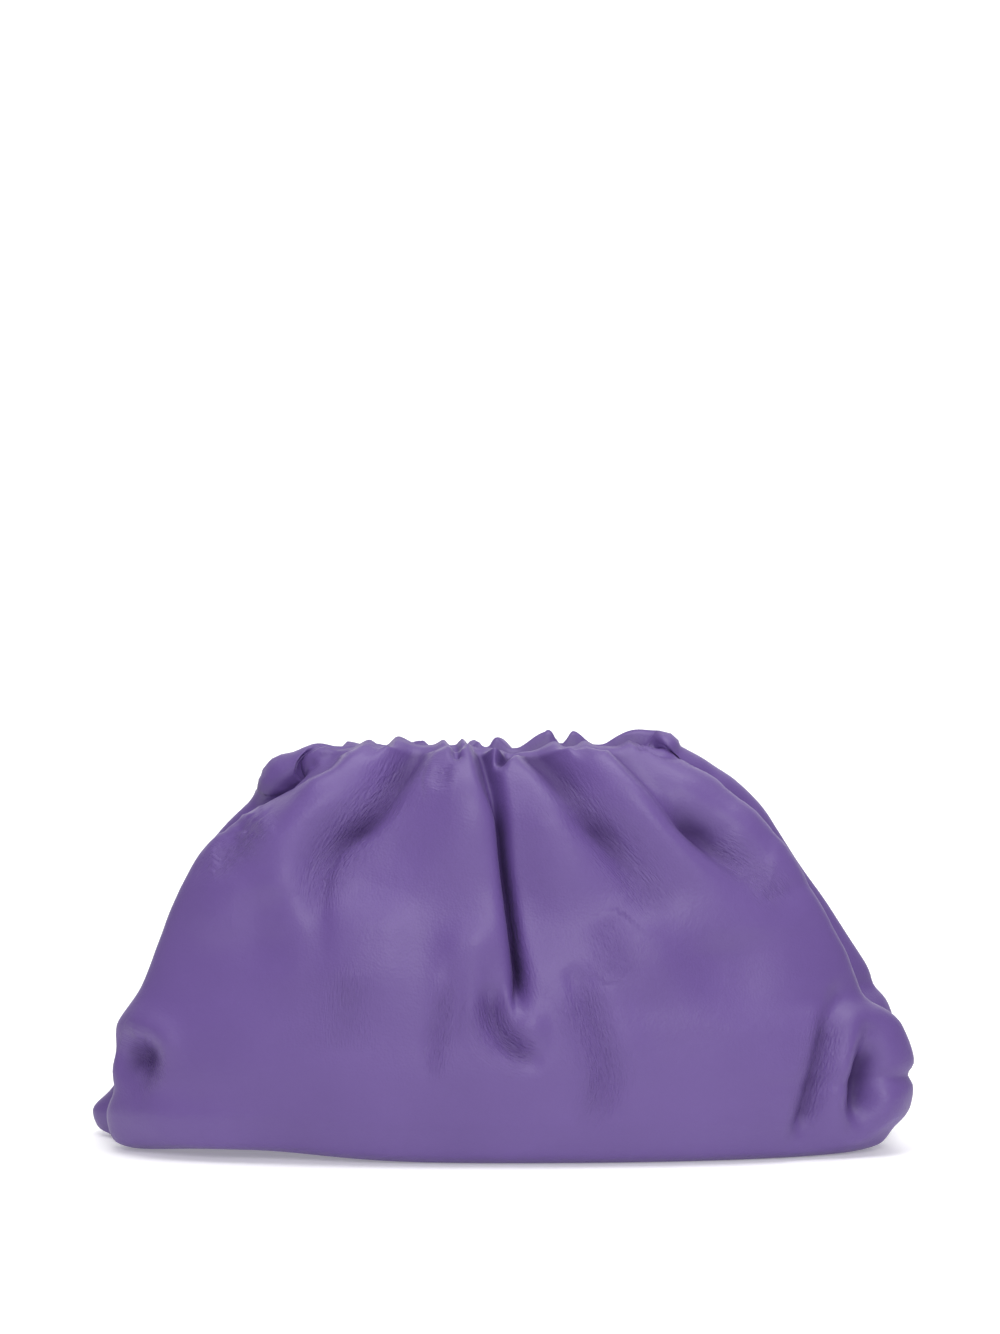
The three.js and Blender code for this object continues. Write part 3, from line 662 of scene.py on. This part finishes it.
def fold_shape(points, normals, crest_row, row, room):
    """How deep one fold presses into the leather, and how the leather leans over it."""
    line = path_on(points, crest_row, row["path"])
    distance, along, side = distance_to(points, normals, line)
    flare = blend(1, row["flare"], along)
    width = blend(row["left"], row["right"], (1 + side) / 2) * flare
    bend = row["round"] * flare
    profile = np.exp(-((np.sqrt(distance ** 2 + bend ** 2) - bend) / width) ** FOLD_FALL)
    grown = blend(row["start"], 1, smooth_step(0, FOLD_START, along))
    held = 1 - smooth_step(row["hold"], 1, along)
    pressed = np.minimum(row["depth"], room) * profile * grown * held
    leaning = row.get("lean", 0)
    if not leaning:
        return pressed, 0
    over = smooth_step(0, LEAN_RISE, -np.sign(leaning) * side * distance)
    faded = np.exp(-(distance / LEAN_REACH) ** 2)
    sideways = unit(np.cross(normals, unit(np.gradient(line, axis=0))[nearest_of(along, line)]))
    return pressed, (leaning * over * faded * grown * held)[..., None] * sideways


def side_depth(points):
    """How deep the rolls across the sides, the side seams and their puckers press in."""
    x, y, z = points[..., 0], points[..., 1], points[..., 2]
    pressed = np.zeros(points.shape[:2])
    for row in SIDE_FOLDS:
        up = (z / BAG_HEIGHT - row["height"]) / row["width"]
        out = y / (row["spread"] * HALF_DEPTH)
        on_side = smooth_step(SIDE_START, SIDE_FULL, row["side"] * x / HALF_WIDTH)
        pressed += on_side * row["depth"] * HALF_WIDTH * np.exp(-up ** 2 - out ** 2)
    upper = smooth_step(PUCKER_START * BAG_HEIGHT, PUCKER_FULL * BAG_HEIGHT, z)
    below_rim = 1 - smooth_step(RIM_TOP - HEM_DEPTH, RIM_TOP - HEM_DEPTH / 2, z)
    gathered = np.sin(math.pi * z / PUCKER_PITCH) ** 2 * np.exp(-(y / PUCKER_REACH) ** 2)
    seam = SEAM_DEPTH * below_rim * np.exp(-(y / SEAM_WIDTH) ** 2)
    return pressed + PUCKER_DEPTH * upper * below_rim * gathered + seam


def drop_at(points):
    """How far the mouth's left end sinks."""
    outward = smooth_step(DROP_START * HALF_WIDTH, DROP_END * HALF_WIDTH, -points[..., 0])
    upward = smooth_step(DROP_ABOVE * BAG_HEIGHT, RIM_TOP, points[..., 2])
    return END_DROP * outward * upward


def wrinkle_patches(points, normals, crest_row, rows):
    """How strong the fine wrinkles are, and how far along and across them each point lies."""
    strength = np.zeros(points.shape[:2])
    place = np.zeros(points.shape)
    for row in rows:
        line = path_on(points, crest_row, row["path"])
        distance, along, side = distance_to(points, normals, line)
        length = np.linalg.norm(np.diff(line, axis=0), axis=1).sum()
        ends = smooth_step(0, PATCH_FADE, along) * (1 - smooth_step(1 - PATCH_FADE, 1, along))
        here = row["strength"] * ends * np.exp(-(distance / row["width"]) ** 2)
        stronger = here > strength
        strength[stronger] = here[stronger]
        place[stronger, 0] = along[stronger] * length
        place[stronger, 1] = (side * distance)[stronger]
    return strength, place


def wrinkle_depth(strength, place):
    """The larger of the fine wrinkles, which wander a little as they run along a fold."""
    along, across = place[..., 0], place[..., 1]
    wander = sum(row["size"] * np.sin(along / row["length"] + row["start"]) for row in WANDER)
    return WRINKLE_DEPTH * strength * np.sin(2 * math.pi * across / WRINKLE_PITCH + wander)


def soft_limit(value, limit):
    """A value that stays as it is up to a share of its limit and nears the limit beyond."""
    knee = ROOM_SHARE * limit
    rest = np.maximum(limit - knee, LEAST_LENGTH)
    return np.minimum(value, knee) + rest * np.tanh(np.maximum(value - knee, 0) / rest)


def crest_rise(crest, across):
    """How high the pleats stand over the rim."""
    places = np.array([row["across"] for row in crest]) * HALF_WIDTH
    rises = np.array([row["rise"] for row in crest])
    return monotone_curve(places, rises, np.clip(across, places[0], places[-1]))


def relief(places, points, normals, folds, crest):
    """How the leather moves from its basic form, and how deep in a fold it lies.

    The pleats swell towards the mouth and run over its crest, where they stand straight up, and
    the folds press in, but never into the frame's channel nor at the floor.
    """
    z = points[..., 2]
    crest_row = int(np.searchsorted(places, CREST_PLACE))
    shares = column_shares()
    from_seam = np.minimum(shares, 1 - shares)
    fade = smooth_step(0, SEAM_FADE, from_seam)
    seam_swell = np.where(shares < 0.5, LEFT_SEAM_SWELL, RIGHT_SEAM_SWELL)
    full_swell = blend(seam_swell, PLEAT_SWELL, smooth_step(0, SWELL_FADE, from_seam))
    swell = full_swell * smooth_step(SWELL_ABOVE * BAG_HEIGHT, RIM_TOP - HEM_DEPTH / 2, z)
    rise = crest_rise(crest, points[..., 0])
    rise = blend(END_RISE * PLEAT_RISE, rise, smooth_step(0, RISE_FADE, from_seam))
    raised = blend(swell, rise, smooth_step(RIM_TOP - RIM_BEND, RIM_TOP, z))
    below_hem = RIM_TOP - HEM_DEPTH - z
    room = np.maximum(raised, 0) + ROOM_GROWTH * smooth_step(0, ROOM_GROWTH, below_hem)
    shapes = [fold_shape(points, normals, crest_row, row, room) for row in folds]
    valleys = np.sqrt(sum(np.maximum(depth, 0) ** 2 for depth, _ in shapes))
    ridges = sum(np.minimum(depth, 0) for depth, _ in shapes)
    leaning = sum(lean for _, lean in shapes)
    free = smooth_step(FLOOR_FREE, FLOOR_FREE + FOLD_GROWTH, z)
    inward = soft_limit(free * (fade * (valleys + ridges) + side_depth(points)), room)
    over = 1 - smooth_step(CREST_PLACE, INNER_PLACE, places)[:, None]
    standing = np.where((places > CREST_PLACE)[:, None, None], [0, 0, 1], normals)
    apart = (fade * over * smooth_step(0, LEAN_REACH, below_hem))[..., None]
    moved = ((raised - inward) * over)[..., None] * standing + leaning * apart
    moved[..., 2] -= drop_at(points)
    return moved, inward * over


def wall_mesh(name, outer, inner, outward_first):
    """A closed leather wall from an outer and an inner sheet of points."""
    count = outer.shape[0] * outer.shape[1]
    at = np.arange(count).reshape(outer.shape[:2])
    quads = np.stack([at[:-1, :-1], at[:-1, 1:], at[1:, 1:], at[1:, :-1]], axis=-1).reshape(-1, 4)
    sheets = np.concatenate([quads, quads[:, ::-1] + count])
    edge = np.concatenate([at[0, :], at[1:, -1], at[-1, -2::-1], at[-2:0:-1, 0]])
    following = np.roll(edge, -1)
    rim = np.stack([following, edge, edge + count, following + count], axis=-1)
    faces = np.concatenate([sheets, rim])
    if not outward_first:
        faces = faces[:, ::-1]
    points = np.concatenate([outer.reshape(-1, 3), inner.reshape(-1, 3)]) * MM
    mesh = bpy.data.meshes.new(name)
    mesh.from_pydata(points.tolist(), [], faces.tolist())
    mesh.shade_smooth()
    mesh.validate()
    return mesh


def add_object(name, data):
    """A new object of the scene with this mesh, light or camera."""
    piece = bpy.data.objects.new(name, data)
    bpy.context.scene.collection.objects.link(piece)
    return piece


def write_attribute(mesh, name, kind, key, values):
    """Write values for the points of the outer sheet, and zeros for those of the inner one."""
    both = np.concatenate([values.ravel(), np.zeros(values.size)])
    mesh.attributes.new(name, kind, "POINT").data.foreach_set(key, both)


def leather_panel(name, facing, folds, crest, wrinkles, shift):
    """One panel as a fine leather wall with its folds and wrinkles."""
    places, points, normals = basic_form(facing)
    moved, depth = relief(places, points, normals, folds, crest)
    crest_row = int(np.searchsorted(places, CREST_PLACE))
    strength, place = wrinkle_patches(points, normals, crest_row, wrinkles)
    outer = points + moved - wrinkle_depth(strength, place)[..., None] * normals + shift
    inner = outer - normals * LEATHER
    mesh = wall_mesh(name, outer, inner, facing < 0)
    write_attribute(mesh, "wrinkle", "FLOAT", "value", strength)
    # Painted shade: how deep each point lies in a fold, which darkens the leather's colour and
    # lowers its specular level in the shader.
    write_attribute(mesh, "painted_fold_shade", "FLOAT", "value", smooth_step(SHADE_START_DEPTH, SHADE_FULL_DEPTH, depth))
    write_attribute(mesh, "wrinkle_place", "FLOAT_VECTOR", "vector", place)
    return add_object(name, mesh)


def set_inputs(tree, node, inputs):
    """Set a node's inputs to values, or join them to the outputs that are given for them."""
    for name, value in inputs.items():
        if isinstance(value, bpy.types.NodeSocket):
            tree.links.new(value, node.inputs[name])
        else:
            node.inputs[name].default_value = value


def add_node(tree, kind, inputs, operation=None):
    """A new shader node. Inputs without a name of their own are given by number."""
    node = tree.nodes.new(kind)
    if operation:
        node.operation = operation
    set_inputs(tree, node, inputs)
    return node


def noise(tree, vector, scale, detail):
    inputs = {"Vector": vector, "Scale": scale, "Detail": detail}
    return add_node(tree, "ShaderNodeTexNoise", inputs).outputs["Fac"]


def combine(tree, operation, first, second):
    return add_node(tree, "ShaderNodeMath", {0: first, 1: second}, operation).outputs["Value"]


def stretched(tree, vector, factors):
    node = add_node(tree, "ShaderNodeVectorMath", {0: vector, 1: factors}, "MULTIPLY")
    return node.outputs["Vector"]


def mesh_attribute(tree, name, output):
    node = tree.nodes.new("ShaderNodeAttribute")
    node.attribute_name = name
    return node.outputs[output]


def object_place(tree):
    return tree.nodes.new("ShaderNodeTexCoord").outputs["Object"]


def shader_of(material):
    return material.node_tree.nodes["Principled BSDF"]


def new_material(name, look):
    """A material with these values on its shader."""
    material = bpy.data.materials.new(name)
    material.use_nodes = True
    set_inputs(material.node_tree, shader_of(material), look)
    return material


def leather_colour(tree, place, painted_fold_shade):
    """A purple that is a little uneven in tone, with shade painted in where the folds are deep."""
    ramp = add_node(tree, "ShaderNodeValToRGB", {"Fac": noise(tree, place, *TONE_NOISE)})
    for stop, (position, colour) in zip(ramp.color_ramp.elements, LEATHER_TONES):
        stop.position = position
        stop.color = colour
    # Painted shade: the colour is darkened in deep folds, down to half its value.
    value = combine(tree, "SUBTRACT", 1, combine(tree, "MULTIPLY", painted_fold_shade, FOLD_SHADE_DARKENING))
    inputs = {"Value": value, "Color": ramp.outputs["Color"]}
    return add_node(tree, "ShaderNodeHueSaturation", inputs).outputs["Color"]


def leather_height(tree, place):
    """The height of the grain, and of the break wrinkles where the mesh says that they lie."""
    run = stretched(tree, mesh_attribute(tree, "wrinkle_place", "Vector"), BREAK_STRETCH)
    strength = mesh_attribute(tree, "wrinkle", "Fac")
    breaks = combine(tree, "MULTIPLY", noise(tree, run, *BREAK_NOISE), strength)
    breaks = combine(tree, "MULTIPLY", breaks, BREAK_HEIGHT)
    pores = add_node(tree, "ShaderNodeTexVoronoi", {"Vector": place, "Scale": PORE_SCALE})
    fine = combine(tree, "MULTIPLY", pores.outputs["Distance"], PORE_HEIGHT)
    soft = combine(tree, "MULTIPLY", noise(tree, place, *UNEVEN_NOISE), UNEVEN_HEIGHT)
    return combine(tree, "ADD", combine(tree, "ADD", soft, fine), breaks)


def purple_leather():
    """Soft smooth leather with a fine grain, with shade painted into its folds as a darker colour
    and a lower specular level.
    """
    material = new_material("purple_leather", LEATHER_LOOK)
    tree = material.node_tree
    place = object_place(tree)
    painted_fold_shade = mesh_attribute(tree, "painted_fold_shade", "Fac")
    # Painted shade: the specular level is lowered in deep folds as well.
    shade_specular_drop = combine(tree, "MULTIPLY", painted_fold_shade, FOLD_SHADE_SPECULAR_DROP)
    bump = add_node(tree, "ShaderNodeBump", {**BUMP, "Height": leather_height(tree, place)})
    set_inputs(tree, shader_of(material), {
        "Base Color": leather_colour(tree, place, painted_fold_shade),
        "Specular IOR Level": combine(tree, "SUBTRACT", LEATHER_SPECULAR, shade_specular_drop),
        "Normal": bump.outputs["Normal"],
    })
    return material


def plain_steel():
    """Rolled strip steel, with faint streaks along the strip."""
    material = new_material("plain_steel", STEEL_LOOK)
    tree = material.node_tree
    streaks = noise(tree, stretched(tree, object_place(tree), STREAK_STRETCH), *STREAK_NOISE)
    gloss = add_node(tree, "ShaderNodeMapRange", {**STREAK_ROUGHNESS, "Value": streaks})
    set_inputs(tree, shader_of(material), {"Roughness": gloss.outputs["Result"]})
    return material


def pale_floor():
    """A plain pale floor that sweeps up into a backdrop behind the bag."""
    bend_start = FLOOR_BACK - BACKDROP_BEND
    profile = [(FLOOR_FRONT, 0)]
    for k in range(BACKDROP_STEPS + 1):
        angle = k / BACKDROP_STEPS * math.pi / 2
        profile.append((bend_start + BACKDROP_BEND * math.sin(angle),
                        BACKDROP_BEND - BACKDROP_BEND * math.cos(angle)))
    profile.append((FLOOR_BACK, BACKDROP_HEIGHT))
    points = [(x, y, z) for y, z in profile for x in (-FLOOR_WIDTH / 2, FLOOR_WIDTH / 2)]
    faces = [(2 * k, 2 * k + 1, 2 * k + 3, 2 * k + 2) for k in range(len(profile) - 1)]
    mesh = bpy.data.meshes.new("floor")
    mesh.from_pydata(points, [], faces)
    mesh.shade_smooth()
    floor = add_object("floor", mesh)
    floor.data.materials.append(new_material("pale_floor", FLOOR_LOOK))


def soft_light(name, place, target, size, power):
    """A rectangular light at a place, turned to a target."""
    light = bpy.data.lights.new(name, "AREA")
    light.shape = "RECTANGLE"
    light.size, light.size_y = size
    light.energy = power
    lamp = add_object(name, light)
    lamp.location = place
    lamp.rotation_euler = (Vector(target) - Vector(place)).to_track_quat("-Z", "Y").to_euler()


def studio():
    """Even white surroundings and the soft lights."""
    bpy.context.scene.view_settings.view_transform = "Standard"
    world = bpy.data.worlds.new("studio")
    bpy.context.scene.world = world
    world.use_nodes = True
    set_inputs(world.node_tree, world.node_tree.nodes["Background"], SURROUNDINGS)
    for row in LIGHTS:
        soft_light(**row)


def camera():
    """A camera at the photograph's angle and framing."""
    elevation = math.radians(CAMERA_ELEVATION)
    middle = Vector((0, 0, CAMERA_MIDDLE))
    lens = bpy.data.cameras.new("camera")
    lens.lens = CAMERA_LENS
    eye = add_object("camera", lens)
    outward = Vector((0, -math.cos(elevation), math.sin(elevation)))
    eye.location = middle + CAMERA_DISTANCE * outward
    aim = middle + Vector((0, 0, CAMERA_AIM_ABOVE))
    eye.rotation_euler = (aim - eye.location).to_track_quat("-Z", "Y").to_euler()
    bpy.context.scene.camera = eye


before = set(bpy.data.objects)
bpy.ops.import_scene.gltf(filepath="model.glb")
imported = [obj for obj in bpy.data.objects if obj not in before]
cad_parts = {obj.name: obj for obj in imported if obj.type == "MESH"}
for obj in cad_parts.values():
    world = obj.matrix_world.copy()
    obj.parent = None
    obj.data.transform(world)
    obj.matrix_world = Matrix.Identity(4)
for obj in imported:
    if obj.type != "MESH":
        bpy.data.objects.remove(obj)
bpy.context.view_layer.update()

# The model is centred over the origin, so the mouth says how far its source was shifted.
mouth_low, mouth_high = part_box("mouth_frame")
mouth_middle = (mouth_low[0] + mouth_high[0]) / 2 / MM
shift = np.array([mouth_middle - (MOUTH_RIGHT - MOUTH_LEFT) / 2, 0, 0])

leather = purple_leather()
for name, facing, folds, crest, wrinkles in [
    ("front_leather", -1, FRONT_FOLDS, FRONT_CREST, FRONT_WRINKLES),
    ("back_leather", 1, BACK_FOLDS, BACK_CREST, BACK_WRINKLES),
]:
    panel = leather_panel(name, facing, folds, crest, wrinkles, shift)
    panel.data.materials.append(leather)
    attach(panel, "root")
    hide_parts(name.replace("leather", "panel"))

steel = plain_steel()
for slot in bpy.data.objects["mouth_frame"].material_slots:
    slot.material = steel

pale_floor()
studio()
camera()
